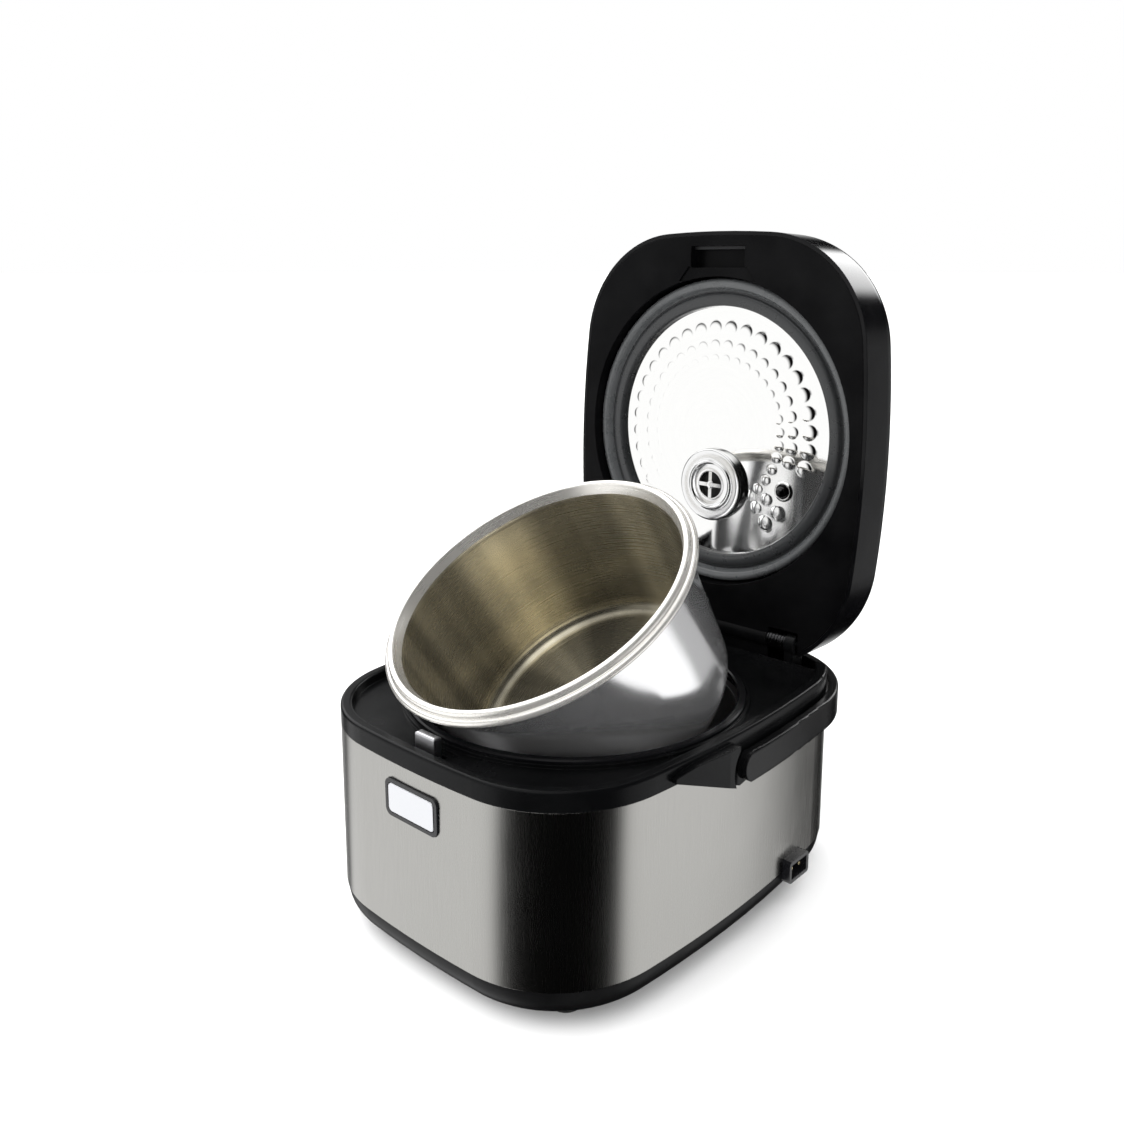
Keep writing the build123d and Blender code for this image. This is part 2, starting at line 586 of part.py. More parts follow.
def steam_valve():
    """Lift-out steam valve: a cap with a slotted top, and its cup."""
    z = LID_TOP_Z
    cap = turned([(0, z - 16), (VALVE_R - 3, z - 16), (VALVE_R - 2, z - 3.5), (VALVE_R, z - 3), (VALVE_R, z + 1),
                  (VALVE_R - 2, z + 3), (0, z + 3)], 0, VALVE_Y)
    for x in (-9.0, -4.5, 0.0, 4.5, 9.0):
        cap -= block(x - 1, x + 1, VALVE_Y - 9, VALVE_Y + 9, z - 6, z + 4)
    return cap - post(0, VALVE_Y, 15, z - 18, z - 5.5)


def touch_panel():
    return block(-PANEL_W / 2 + 0.2, PANEL_W / 2 - 0.2, PANEL_Y - PANEL_D / 2 + 0.2,
                 PANEL_Y + PANEL_D / 2 - 0.2, LID_TOP_Z - PANEL_T, LID_TOP_Z)


def lid_control_board():
    z = LID_TOP_Z - 12
    board = block(-48, 48, PANEL_Y - 30, PANEL_Y + 30, z, z + 1.6)
    board += block(-30, 30, PANEL_Y - 14, PANEL_Y + 14, z + 1.5, z + 6.5)
    return board + block(-40, -26, PANEL_Y + 16, PANEL_Y + 26, z - 7, z + 0.5)


def lid_screws():
    screw = Cylinder(3.0, 2.0) + Pos(0, 0, 6) * Cylinder(1.4, 12)
    return [Pos(x, y, CUP_Z + 3.2) * screw for x, y in ((-70, -90), (70, -90), (-90, 60), (90, 60))]


# ---------------------------------------------------------------- inner pot, drawn seated
def inner_pot():
    top = POT_RIM_Z
    base = top - POT_DEPTH
    outer = [(0, base), (POT_BASE_R - POT_CORNER_R, base)]
    corner_c = (POT_BASE_R - POT_CORNER_R, base + POT_CORNER_R)
    inner_r = POT_CORNER_R - POT_T
    rim_under = top - 8.6
    edges = [
        Line(outer[0], outer[1]),
        CenterArc(corner_c, POT_CORNER_R, -90, 90),
        Line((POT_BASE_R, corner_c[1]), (POT_WALL_R, rim_under - 2)),
        Line((POT_WALL_R, rim_under - 2), (POT_WALL_R + 1.5, rim_under)),
        Line((POT_WALL_R + 1.5, rim_under), (POT_RIM_R - 2.2, rim_under)),
        ThreePointArc((POT_RIM_R - 2.2, rim_under), (POT_RIM_R, rim_under + 2.2),
                      (POT_RIM_R - 2.2, rim_under + 4.4)),
        Line((POT_RIM_R - 2.2, rim_under + 4.4), (POT_RIM_R - 3.6, rim_under + 4.6)),
        ThreePointArc((POT_RIM_R - 3.6, rim_under + 4.6), (POT_RIM_R - 4.6, top - 0.6), (POT_RIM_R - 6.6, top)),
        ThreePointArc((POT_RIM_R - 6.6, top), (POT_RIM_R - 8.9, top - 0.9), (POT_RIM_R - 10.6, rim_under + 3)),
        Line((POT_RIM_R - 10.6, rim_under + 3), (POT_WALL_R - POT_T, rim_under - 3)),
        Line((POT_WALL_R - POT_T, rim_under - 3), (POT_BASE_R - POT_T, corner_c[1])),
        CenterArc(corner_c, inner_r, 0, -90),
        Line((corner_c[0], base + POT_T), (0, base + POT_T)),
        Line((0, base + POT_T), (0, base)),
    ]
    face = Plane.XZ * Face(Wire([edge.edge() for edge in edges]))
    return Pos(0, WELL_Y, 0) * revolve(face, Axis.Z, 360)


# ---------------------------------------------------------------- placing and writing
def as_built(shape):
    return shape


def lid_opened(shape):
    """Turn a piece of the closed lid about the hinge to its open stop."""
    return Pos(0, HINGE_Y, HINGE_Z) * Rot(-LID_OPEN, 0, 0) * Pos(0, -HINGE_Y, -HINGE_Z) * shape


def pot_leaned(shape):
    """Lean the seated pot about the tilt axis, in the direction POT_TURN from the front."""
    turn = Pos(0, WELL_Y, 0) * Rot(0, 0, POT_TURN) * Pos(0, -WELL_Y, 0)
    axis_y = WELL_Y - TILT_AXIS_R
    lean = Pos(0, axis_y, TILT_AXIS_Z) * Rot(POT_TILT, 0, 0) * Pos(0, -axis_y, -TILT_AXIS_Z)
    return turn * lean * shape


NODES = [
    (as_built, [steel_wrap, base_tray, rubber_feet, base_screws, deck_frame, seat_ring, well_liner,
                heating_plate, heating_element, thermostat_sensor, sensor_guide, sensor_spring,
                power_board, power_inlet, inlet_pins, button_bezel, release_button, latch_hook,
                latch_guide, latch_spring, hinge_pin, hinge_springs, carry_handle, handle_pivots]),
    (lid_opened, [lid_cover, lid_liner, lid_catch, inner_plate, lid_gasket, vent_cap, vent_seal,
                  lid_sensor, steam_valve, touch_panel, lid_control_board, lid_screws]),
    (pot_leaned, [inner_pot]),
]


def write_part(make, place):
    made = make()
    pieces = made if isinstance(made, list) else [made]
    solids = [solid for piece in pieces for solid in (Pos(0, -ORIGIN_Y, 0) * place(piece)).solids()]
    node = Compound(children=solids) if len(solids) > 1 else solids[0]
    export_step(node, os.path.join(STEP_DIR, make.__name__ + ".step"))


os.makedirs("parts", exist_ok=True)
for place, makers in NODES:
    for make in makers:
        write_part(make, place)
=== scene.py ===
import json
from math import cos, hypot, pi, radians, sin

import bmesh
import bpy
from mathutils import Matrix, Vector


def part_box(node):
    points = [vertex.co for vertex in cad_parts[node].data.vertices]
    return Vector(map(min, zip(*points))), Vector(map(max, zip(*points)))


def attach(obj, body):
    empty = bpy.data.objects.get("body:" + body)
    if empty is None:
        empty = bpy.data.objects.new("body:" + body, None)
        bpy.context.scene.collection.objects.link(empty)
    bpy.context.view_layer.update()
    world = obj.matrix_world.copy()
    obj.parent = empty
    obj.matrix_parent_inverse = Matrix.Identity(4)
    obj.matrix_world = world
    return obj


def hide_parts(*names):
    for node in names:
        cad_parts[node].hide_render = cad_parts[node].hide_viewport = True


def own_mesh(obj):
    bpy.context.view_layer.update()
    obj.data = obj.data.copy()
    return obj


# Looks for the open rice cooker. Lengths are metres in the part's own frame unless a name says mm.
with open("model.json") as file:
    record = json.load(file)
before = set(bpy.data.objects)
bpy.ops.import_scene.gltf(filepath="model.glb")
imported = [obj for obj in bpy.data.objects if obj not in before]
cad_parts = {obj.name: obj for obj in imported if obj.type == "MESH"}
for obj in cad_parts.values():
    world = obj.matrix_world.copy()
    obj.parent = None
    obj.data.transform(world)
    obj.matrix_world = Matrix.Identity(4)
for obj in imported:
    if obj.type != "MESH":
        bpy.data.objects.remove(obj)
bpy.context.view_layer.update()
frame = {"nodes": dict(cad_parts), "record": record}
nodes = frame["nodes"]
joints = {joint["name"]: joint for joint in frame["record"]["behaviour"]["joints"]}
MM = 0.001
WELD_M = 2e-6


# ---------------------------------------------------------------- where things are
def turn_about(point, axis, degrees):
    """A turn about an axis through a point."""
    point = Vector(point)
    turn = Matrix.Rotation(radians(degrees), 4, Vector(axis))
    return Matrix.Translation(point) @ turn @ Matrix.Translation(-point)


def middle(node):
    low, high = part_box(node)
    return (Vector(low) + Vector(high)) / 2


well = middle("well_liner")
hinge = joints["lid_hinge"]
tilt = joints["pot_tilt"]
# Pieces of the lid and the pot are drawn as they stand in the shut cooker,
# then put in their open places.
lid_open = turn_about(hinge["pos_m"], hinge["axis"], -hinge["range_deg"][1])
plate_place = lid_open @ Matrix.Translation((well.x, well.y, 0))
pot_place = turn_about(tilt["pos_m"], tilt["axis"], -tilt["range_deg"][1])
pot_place = pot_place @ Matrix.Translation((well.x, well.y, 0))


# ---------------------------------------------------------------- mesh helpers
def rounded(points, rounds=2, keep_ends=True):
    """Cuts the corners of an open line of points, which makes it a smooth curve."""
    for _ in range(rounds):
        cut = [points[0]] if keep_ends else []
        for (r0, z0), (r1, z1) in zip(points, points[1:]):
            cut.append((r0 * 0.75 + r1 * 0.25, z0 * 0.75 + z1 * 0.25))
            cut.append((r0 * 0.25 + r1 * 0.75, z0 * 0.25 + z1 * 0.75))
        if keep_ends:
            cut.append(points[-1])
        points = cut
    return points


def arc(centre_r, centre_z, radius, start, end, steps=8):
    """Points of an arc, in degrees."""
    angles = [radians(start + (end - start) * i / steps) for i in range(steps + 1)]
    return [(centre_r + radius * cos(a), centre_z + radius * sin(a)) for a in angles]


def add_revolved(bm, profile, segments=160, zone=0, closed=False, at=(0, 0)):
    """Adds a (radius, z) line in mm, turned about the vertical axis, and returns its faces."""
    rings = []
    for r, z in profile:
        ring = []
        for k in range(segments):
            a = 2 * pi * k / segments
            x = r * cos(a) + at[0]
            y = r * sin(a) + at[1]
            ring.append(bm.verts.new((x * MM, y * MM, z * MM)))
        rings.append(ring)
    pairs = list(zip(rings, rings[1:]))
    if closed:
        pairs.append((rings[-1], rings[0]))
    made = []
    for low, high in pairs:
        for k in range(segments):
            m = (k + 1) % segments
            face = bm.faces.new((low[k], low[m], high[m], high[k]))
            face.material_index = zone
            made.append(face)
    return made


def piece(name, bm, place, body, materials, stands_for=(), sharp=32, weld=True):
    """Turns a bmesh into an object with materials, puts it in place and fastens it to a body."""
    if weld:
        bmesh.ops.remove_doubles(bm, verts=bm.verts, dist=WELD_M)
    mesh = bpy.data.meshes.new(name)
    bm.to_mesh(mesh)
    bm.free()
    mesh.shade_smooth()
    mesh.set_sharp_from_angle(angle=radians(sharp))
    for material in materials:
        mesh.materials.append(material)
    obj = bpy.data.objects.new(name, mesh)
    bpy.context.scene.collection.objects.link(obj)
    obj.matrix_world = place
    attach(obj, body)
    if stands_for:
        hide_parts(*stands_for)
    return obj


# ---------------------------------------------------------------- material helpers
class Look:
    """A node material round one Principled shader."""

    def __init__(self, name, metallic=0.0):
        self.material = bpy.data.materials.new(name)
        self.material.use_nodes = True
        self.tree = self.material.node_tree
        self.tree.nodes.clear()
        self.shader = self.node("ShaderNodeBsdfPrincipled")
        output = self.node("ShaderNodeOutputMaterial")
        self.link(self.shader.outputs[0], output.inputs[0])
        self.shader.inputs["Metallic"].default_value = metallic
        self.object_coords = self.node("ShaderNodeTexCoord").outputs["Object"]

    def node(self, kind, **values):
        made = self.tree.nodes.new(kind)
        for key, value in values.items():
            setattr(made, key, value)
        return made

    def link(self, source, target):
        self.tree.links.new(source, target)

    def put(self, value, target):
        """Joins an output to a socket, or sets the socket to a plain value."""
        if isinstance(value, bpy.types.NodeSocket):
            self.link(value, target)
        else:
            target.default_value = value

    def stretched(self, scale, coords=None):
        mapping = self.node("ShaderNodeMapping")
        mapping.inputs["Scale"].default_value = scale
        self.link(coords or self.object_coords, mapping.inputs["Vector"])
        return mapping.outputs[0]

    def noise(self, coords, scale, detail=3.0, roughness=0.55):
        noise = self.node("ShaderNodeTexNoise")
        noise.inputs["Scale"].default_value = scale
        noise.inputs["Detail"].default_value = detail
        noise.inputs["Roughness"].default_value = roughness
        self.link(coords, noise.inputs["Vector"])
        return noise.outputs[0]

    def sum(self, operation, a, b=0.0, c=0.0):
        math = self.node("ShaderNodeMath", operation=operation)
        self.put(a, math.inputs[0])
        self.put(b, math.inputs[1])
        self.put(c, math.inputs[2])
        return math.outputs[0]

    def spread(self, value, low, high, to_low, to_high):
        """Maps low..high of a value to to_low..to_high, without going past either."""
        ranged = self.node("ShaderNodeMapRange")
        self.link(value, ranged.inputs["Value"])
        limits = {"From Min": low, "From Max": high, "To Min": to_low, "To Max": to_high}
        for key, number in limits.items():
            ranged.inputs[key].default_value = number
        return ranged.outputs[0]

    def mixed(self, factor, first, second):
        mix = self.node("ShaderNodeMix", data_type="RGBA")
        self.put(factor, mix.inputs[0])
        for value, socket in ((first, mix.inputs[6]), (second, mix.inputs[7])):
            self.put(value if isinstance(value, bpy.types.NodeSocket) else (*value, 1.0), socket)
        return mix.outputs[2]

    def turned_coords(self, along=900.0, around=2.0):
        """Coordinates that run round the piece's own Z axis, for marks that go round with it."""
        split = self.node("ShaderNodeSeparateXYZ")
        self.link(self.object_coords, split.inputs[0])
        x, y, z = split.outputs
        squares = self.sum("ADD", self.sum("MULTIPLY", x, x), self.sum("MULTIPLY", y, y))
        radius = self.sum("SQRT", squares)
        joined = self.node("ShaderNodeCombineXYZ")
        self.link(self.sum("MULTIPLY", radius, along), joined.inputs[0])
        self.link(self.sum("MULTIPLY", self.sum("ARCTAN2", y, x), around), joined.inputs[1])
        self.link(self.sum("MULTIPLY", z, along), joined.inputs[2])
        return joined.outputs[0]

    def fan_coords(self):
        """Coordinates that change only with the bearing round the piece's own Z axis."""
        flat = self.node("ShaderNodeVectorMath", operation="MULTIPLY")
        self.link(self.object_coords, flat.inputs[0])
        flat.inputs[1].default_value = (1.0, 1.0, 0.0)
        unit = self.node("ShaderNodeVectorMath", operation="NORMALIZE")
        self.link(flat.outputs[0], unit.inputs[0])
        return unit.outputs[0]

    def edges(self, radius):
        """Rounds the piece's edges in shading, and returns that normal and a mask of the edges."""
        bevel = self.node("ShaderNodeBevel", samples=4)
        bevel.inputs["Radius"].default_value = radius
        geometry = self.node("ShaderNodeNewGeometry")
        dot = self.node("ShaderNodeVectorMath", operation="DOT_PRODUCT")
        self.link(bevel.outputs[0], dot.inputs[0])
        self.link(geometry.outputs["Normal"], dot.inputs[1])
        mask = self.spread(dot.outputs["Value"], 0.995, 0.80, 0.0, 1.0)
        return bevel.outputs[0], mask

    def bump(self, height, distance, strength=1.0, normal=None):
        bump = self.node("ShaderNodeBump")
        bump.inputs["Strength"].default_value = strength
        bump.inputs["Distance"].default_value = distance
        self.link(height, bump.inputs["Height"])
        if normal is not None:
            self.link(normal, bump.inputs["Normal"])
        return bump.outputs[0]

    def finish(self, colour, roughness, normal=None):
        self.put(colour if isinstance(colour, bpy.types.NodeSocket) else (*colour, 1.0),
                 self.shader.inputs["Base Color"])
        self.put(roughness, self.shader.inputs["Roughness"])
        if normal is not None:
            self.link(normal, self.shader.inputs["Normal"])
        return self.material


def plastic(name, colour, roughness, grain_mm=0.5, grain=0.02, edge_mm=0.7, wear=0.35,
            specular=0.5, coat=0.0):
    """Moulded plastic: fine grain, smears that change its gloss, and edges rubbed paler."""
    look = Look(name)
    normal, mask = look.edges(edge_mm * MM)
    smear = look.noise(look.object_coords, 22.0, 4.0)
    dust = look.noise(look.object_coords, 310.0, 2.0)
    fine = look.noise(look.object_coords, 1000.0 / grain_mm, 2.0)
    worn = look.sum("MULTIPLY", mask, look.spread(dust, 0.42, 0.62, 0.0, wear))
    pale = tuple(min(1.0, c * 2.6 + 0.03) for c in colour)
    softer = tuple(c * 1.35 + 0.002 for c in colour)
    base = look.mixed(look.spread(smear, 0.35, 0.7, 0.0, 1.0), colour, softer)
    base = look.mixed(worn, base, pale)
    rough = look.spread(smear, 0.3, 0.7, roughness * 0.86, roughness * 1.16)
    rough = look.sum("ADD", rough, look.sum("MULTIPLY", worn, 0.12))
    look.shader.inputs["Specular IOR Level"].default_value = specular
    look.shader.inputs["Coat Weight"].default_value = coat
    look.shader.inputs["Coat Roughness"].default_value = 0.06
    return look.finish(base, rough, look.bump(fine, grain * MM, 0.6, normal))


def brushed(name, colour, roughness, scale, depth_mm=0.004, edge_mm=0.4, spread=0.05, tone=0.10):
    """Steel brushed in straight lines; scale is the noise's scale along x, y and z."""
    look = Look(name, metallic=1.0)
    normal, mask = look.edges(edge_mm * MM)
    lines = look.noise(look.stretched(scale), 1.0, 4.0, 0.7)
    broad = look.noise(look.object_coords, 9.0, 3.0)
    darker = tuple(c * (1.0 - tone) for c in colour)
    base = look.mixed(look.spread(lines, 0.3, 0.7, 0.0, 1.0), darker, colour)
    paler = tuple(min(1.0, c * 1.15) for c in colour)
    base = look.mixed(look.sum("MULTIPLY", mask, 0.5), base, paler)
    rough = look.spread(lines, 0.25, 0.75, roughness - spread, roughness + spread)
    rough = look.sum("ADD", rough, look.spread(broad, 0.3, 0.7, -0.02, 0.03))
    return look.finish(base, rough, look.bump(lines, depth_mm * MM, 0.7, normal))


def spun(name, colour, roughness, along=900.0, depth_mm=0.004, spread=0.06, smear=0.03,
         tone=0.08, metallic=1.0, anisotropy_and_painted_fans=0.0):
    """Steel or alloy turned on a lathe: fine rings about the piece's own axis."""
    look = Look(name, metallic)
    rings = look.noise(look.turned_coords(along), 1.0, 4.0, 0.7)
    broad = look.noise(look.object_coords, 16.0, 3.0)
    darker = tuple(c * (1.0 - tone) for c in colour)
    base = look.mixed(look.spread(rings, 0.3, 0.7, 0.0, 1.0), darker, colour)
    rough = look.spread(rings, 0.25, 0.75, roughness - spread, roughness + spread)
    rough = look.sum("ADD", rough, look.spread(broad, 0.3, 0.7, -smear, smear))
    if anisotropy_and_painted_fans:
        tangent = look.node("ShaderNodeTangent", direction_type="RADIAL", axis="Z")
        look.link(tangent.outputs[0], look.shader.inputs["Tangent"])
        look.shader.inputs["Anisotropic"].default_value = anisotropy_and_painted_fans
        # Broad fans round the axis are painted into the colour, down to a third of its brightness:
        # painted reflection bands that stand in for the fan-shaped highlights of brushed steel.
        painted_reflection_fans = look.spread(look.noise(look.fan_coords(), 1.7, 2.0, 0.6), 0.40, 0.62, 0.0, 1.0)
        base = look.mixed(painted_reflection_fans, tuple(c * 0.34 for c in colour), base)
    return look.finish(base, rough, look.bump(rings, depth_mm * MM, 0.6))


def soft_rubber(name, colour, roughness, grain=0.03, edge_mm=0.8):
    """Moulded rubber: matt, a little dusty, with soft edges."""
    look = Look(name)
    normal, mask = look.edges(edge_mm * MM)
    dust = look.noise(look.object_coords, 90.0, 5.0)
    fine = look.noise(look.object_coords, 2600.0, 2.0)
    darker = tuple(c * 0.86 for c in colour)
    paler = tuple(min(1.0, c * 1.3) for c in colour)
    base = look.mixed(look.spread(dust, 0.35, 0.7, 0.0, 1.0), darker, colour)
    base = look.mixed(look.sum("MULTIPLY", mask, 0.25), base, paler)
    rough = look.spread(dust, 0.3, 0.7, roughness - 0.06, roughness + 0.08)
    return look.finish(base, rough, look.bump(fine, grain * MM, 0.5, normal))


def circuit_board(name):
    """Lacquered board: green lacquer with paler copper runs."""
    look = Look(name)
    grid = look.node("ShaderNodeTexBrick")
    grid.inputs["Scale"].default_value = 160.0
    grid.inputs["Mortar Size"].default_value = 0.035
    look.link(look.object_coords, grid.inputs["Vector"])
    smear = look.noise(look.object_coords, 60.0, 3.0)
    lacquer = look.spread(smear, 0.3, 0.7, 0.0, 1.0)
    base = look.mixed(lacquer, (0.02, 0.11, 0.05), (0.03, 0.17, 0.08))
    base = look.mixed(grid.outputs["Fac"], base, (0.10, 0.26, 0.12))
    rough = look.spread(smear, 0.3, 0.7, 0.28, 0.42)
    return look.finish(base, rough, look.bump(grid.outputs["Fac"], 0.03 * MM))


# ---------------------------------------------------------------- materials
wrap_steel = brushed("wrap_steel", (0.45, 0.445, 0.425), 0.25, scale=(3000.0, 3000.0, 5.0),
                     depth_mm=0.0014, edge_mm=0.4, spread=0.035)
black_base = plastic("black_base", (0.003, 0.003, 0.0032), 0.36, grain_mm=0.6, grain=0.03,
                     edge_mm=0.8, wear=0.15, specular=0.14)
black_deck = plastic("black_deck", (0.0015, 0.0016, 0.0018), 0.24, grain_mm=0.5, grain=0.010,
                     edge_mm=0.9, wear=0.12, specular=0.10)
black_handle = plastic("black_handle", (0.002, 0.002, 0.0022), 0.24, grain_mm=0.5, grain=0.010,
                       edge_mm=1.2, wear=0.15, specular=0.16)
black_lid_face = plastic("black_lid_face", (0.0012, 0.0012, 0.0014), 0.34, grain_mm=0.5,
                         grain=0.012, edge_mm=0.8, wear=0.10, specular=0.05)
gloss_black = plastic("gloss_black", (0.0012, 0.0012, 0.0015), 0.13, grain_mm=0.8, grain=0.003,
                      edge_mm=0.8, wear=0.10, specular=0.14)
panel_gloss = plastic("panel_gloss", (0.004, 0.004, 0.005), 0.08, grain_mm=0.8, grain=0.002,
                      edge_mm=0.3, wear=0.05, specular=0.5, coat=0.8)
bezel_gloss = plastic("bezel_gloss", (0.007, 0.007, 0.008), 0.18, grain_mm=0.6, grain=0.004,
                      edge_mm=0.4)
inner_black = plastic("inner_black", (0.010, 0.010, 0.011), 0.46, grain_mm=0.6, grain=0.02,
                      edge_mm=0.5, wear=0.25, specular=0.3)
ring_grey = plastic("ring_grey", (0.0025, 0.0025, 0.003), 0.24, grain_mm=0.5, grain=0.01,
                    edge_mm=0.4, wear=0.15, specular=0.14)
foot_rubber = soft_rubber("foot_rubber", (0.018, 0.018, 0.018), 0.72)
seal_rubber = soft_rubber("seal_rubber", (0.068, 0.071, 0.073), 0.28, grain=0.012, edge_mm=0.15)
# The seal's inner lip is the same rubber as seal_rubber, painted about three times darker as
# painted shade.
seal_lip_painted_shade = soft_rubber("seal_lip_painted_shade", (0.020, 0.021, 0.022), 0.30, grain=0.012, edge_mm=0.15)
probe_dark = brushed("probe_dark", (0.05, 0.05, 0.05), 0.2, scale=(900.0, 900.0, 900.0),
                     depth_mm=0.002, edge_mm=0.3)
screw_steel = brushed("screw_steel", (0.55, 0.55, 0.55), 0.34, scale=(900.0, 900.0, 900.0))
pin_dark = brushed("pin_dark", (0.05, 0.05, 0.052), 0.3, scale=(20.0, 1800.0, 1800.0),
                   depth_mm=0.002, edge_mm=0.3)
spring_steel = brushed("spring_steel", (0.52, 0.52, 0.53), 0.3, scale=(1200.0, 1200.0, 1200.0),
                       depth_mm=0.003, edge_mm=0.2)
element_steel = brushed("element_steel", (0.30, 0.26, 0.22), 0.45, scale=(400.0, 400.0, 400.0),
                        depth_mm=0.01, edge_mm=0.3)
plated_brass = brushed("plated_brass", (0.78, 0.66, 0.38), 0.26, scale=(30.0, 1500.0, 1500.0),
                       depth_mm=0.002, edge_mm=0.2)
hook_silver = brushed("hook_silver", (0.74, 0.74, 0.76), 0.36, scale=(700.0, 700.0, 700.0),
                      depth_mm=0.004, edge_mm=0.8, spread=0.04, tone=0.05)
button_silver = brushed("button_silver", (0.86, 0.87, 0.90), 0.30, scale=(900.0, 900.0, 900.0),
                        depth_mm=0.002, edge_mm=0.8, spread=0.03, tone=0.04)
liner_alloy = brushed("liner_alloy", (0.52, 0.52, 0.52), 0.34, scale=(500.0, 500.0, 900.0),
                      depth_mm=0.004)
board_green = circuit_board("board_green")
pot_inside = spun("pot_inside", (0.77, 0.71, 0.55), 0.27, along=1100.0, depth_mm=0.004,
                  spread=0.05, smear=0.03, tone=0.10, metallic=0.84, anisotropy_and_painted_fans=0.8)
pot_rim = spun("pot_rim", (0.86, 0.84, 0.80), 0.28, along=500.0, depth_mm=0.0005, spread=0.03,
               smear=0.02, tone=0.03, metallic=0.82)
pot_outside = spun("pot_outside", (0.93, 0.93, 0.94), 0.15, along=500.0, depth_mm=0.0005,
                   spread=0.02, smear=0.02, tone=0.02, metallic=0.93)
plate_mirror = spun("plate_mirror", (0.86, 0.86, 0.85), 0.055, along=400.0, depth_mm=0.0003,
                    spread=0.012, smear=0.012, tone=0.02)
vent_mirror = spun("vent_mirror", (0.82, 0.82, 0.82), 0.12, along=700.0, depth_mm=0.001,
                   spread=0.03, smear=0.02, tone=0.03)
vent_dark = plastic("vent_dark", (0.010, 0.010, 0.010), 0.5, grain_mm=0.5, grain=0.01,
                    edge_mm=0.3)

CAD_LOOKS = {
    "steel_wrap": wrap_steel, "base_tray": black_base, "rubber_feet": foot_rubber,
    "base_screws": screw_steel, "deck_frame": black_deck, "seat_ring": ring_grey,
    "well_liner": liner_alloy, "heating_plate": liner_alloy, "heating_element": element_steel,
    "thermostat_sensor": liner_alloy, "sensor_guide": inner_black, "sensor_spring": spring_steel,
    "power_board": board_green, "power_inlet": bezel_gloss, "inlet_pins": plated_brass,
    "button_bezel": bezel_gloss, "release_button": button_silver, "latch_hook": hook_silver,
    "latch_guide": inner_black, "latch_spring": spring_steel, "hinge_pin": pin_dark,
    "hinge_springs": pin_dark, "carry_handle": black_handle, "handle_pivots": black_handle,
    "lid_cover": gloss_black, "lid_liner": black_lid_face, "lid_catch": inner_black,
    "inner_plate": plate_mirror, "lid_gasket": seal_rubber, "vent_cap": vent_mirror,
    "vent_seal": seal_rubber, "lid_sensor": probe_dark, "steam_valve": black_handle,
    "touch_panel": panel_gloss, "lid_control_board": board_green, "lid_screws": screw_steel,
    "inner_pot": pot_inside,
}
for name, node in nodes.items():
    if not node.material_slots:
        node.data.materials.append(None)
    for slot in node.material_slots:
        slot.material = CAD_LOOKS[name]


# ---------------------------------------------------------------- inner pot
POT_SEGMENTS = 192


def make_pot():
    """The pot in the shut cooker's frame, about its own axis: polished outside, brushed inside."""
    bm = bmesh.new()
    outside = [(0, 40.6), (60, 40.5)] + arc(84.5, 55.5, 15, -90, 0, 12)
    outside += [(102.0, 102.0), (104.4, 148.6)]
    under = rounded([(104.4, 148.6), (104.9, 151.2), (107.0, 152.0), (112.4, 152.0)])
    rim = [(112.4, 152.0)] + arc(112.6, 154.2, 2.3, -88, 78, 10)
    rim += rounded([(113.0, 156.5), (111.6, 156.6), (111.3, 157.4), (111.2, 159.0),
                    (109.9, 160.45), (108.2, 160.5), (106.6, 160.1), (105.9, 158.4),
                    (104.6, 155.6), (103.4, 152.8)], 3)
    inside = rounded([(103.4, 152.8), (102.7, 150.4), (102.6, 147.0)])
    inside += [(100.6, 110.0), (99.0, 78.0), (97.7, 56.0)] + arc(84.5, 55.5, 13.2, 0, -90, 12)
    inside += [(60, 42.3), (20, 42.3), (0, 42.3)]
    add_revolved(bm, outside, zone=0, segments=POT_SEGMENTS)
    add_revolved(bm, under, zone=1, segments=POT_SEGMENTS)
    add_revolved(bm, rim, zone=1, segments=POT_SEGMENTS)
    add_revolved(bm, inside, zone=2, segments=POT_SEGMENTS)
    looks = [pot_outside, pot_rim, pot_inside]
    return piece("pot_shell", bm, pot_place, "pot", looks, ["inner_pot"], 50)


make_pot()


# ---------------------------------------------------------------- lid's inner plate
PLATE_MM = 168.0            # height of the plate's underside at its edge, lid shut
PLATE_SAG_MM = 6.0          # how far its middle bulges below that
PLATE_R_MM = 98.0
PLATE_SEGMENTS = 720
VENT_MM = 42.0              # how far the vent sits from the plate's middle
VENT_HOLE_R_MM = 25.5
VENT_GAP_DEG = (55, 143)    # bearings round the vent that have no dimples
PROBE_MM = (62.0, 40.0)     # the sensor's place on the plate
PROBE_HOLE_R_MM = 6.4
PROBE_CLEAR_MM = 14.0
# Rings of dimples: ring radius, dimple radius and dimple height.
RINGS_MM = [(57.5, 4.1, 0.42), (68.0, 4.9, 0.5), (81.5, 6.1, 0.64)]


def dome_mm(distance):
    """Height in mm of the plate's smooth underside, that far from its middle."""
    return PLATE_MM - PLATE_SAG_MM * (1 - (distance / PLATE_R_MM) ** 2)


def dimple_spots():
    """Centres of the pressed dimples: three rings, left out round the vent and the sensor."""
    spots = []
    for ring, size, height in RINGS_MM:
        for i in range(36):
            angle = radians(i * 10 + 5)
            x, y = ring * cos(angle), ring * sin(angle)
            bearing = (i * 10 + 5) % 360
            if VENT_GAP_DEG[0] < bearing < VENT_GAP_DEG[1]:
                continue
            if hypot(x - PROBE_MM[0], y - PROBE_MM[1]) < PROBE_CLEAR_MM:
                continue
            spots.append((x, y, size, height))
    return spots


def plate_height(x, y, spots):
    """Height in mm of the plate's underside, with the dimples pressed towards the pot."""
    z = dome_mm(hypot(x, y))
    for sx, sy, size, height in spots:
        d = hypot(x - sx, y - sy) / size
        if d < 1.0:
            return z - height * (1 - d * d) ** 0.8
    return z


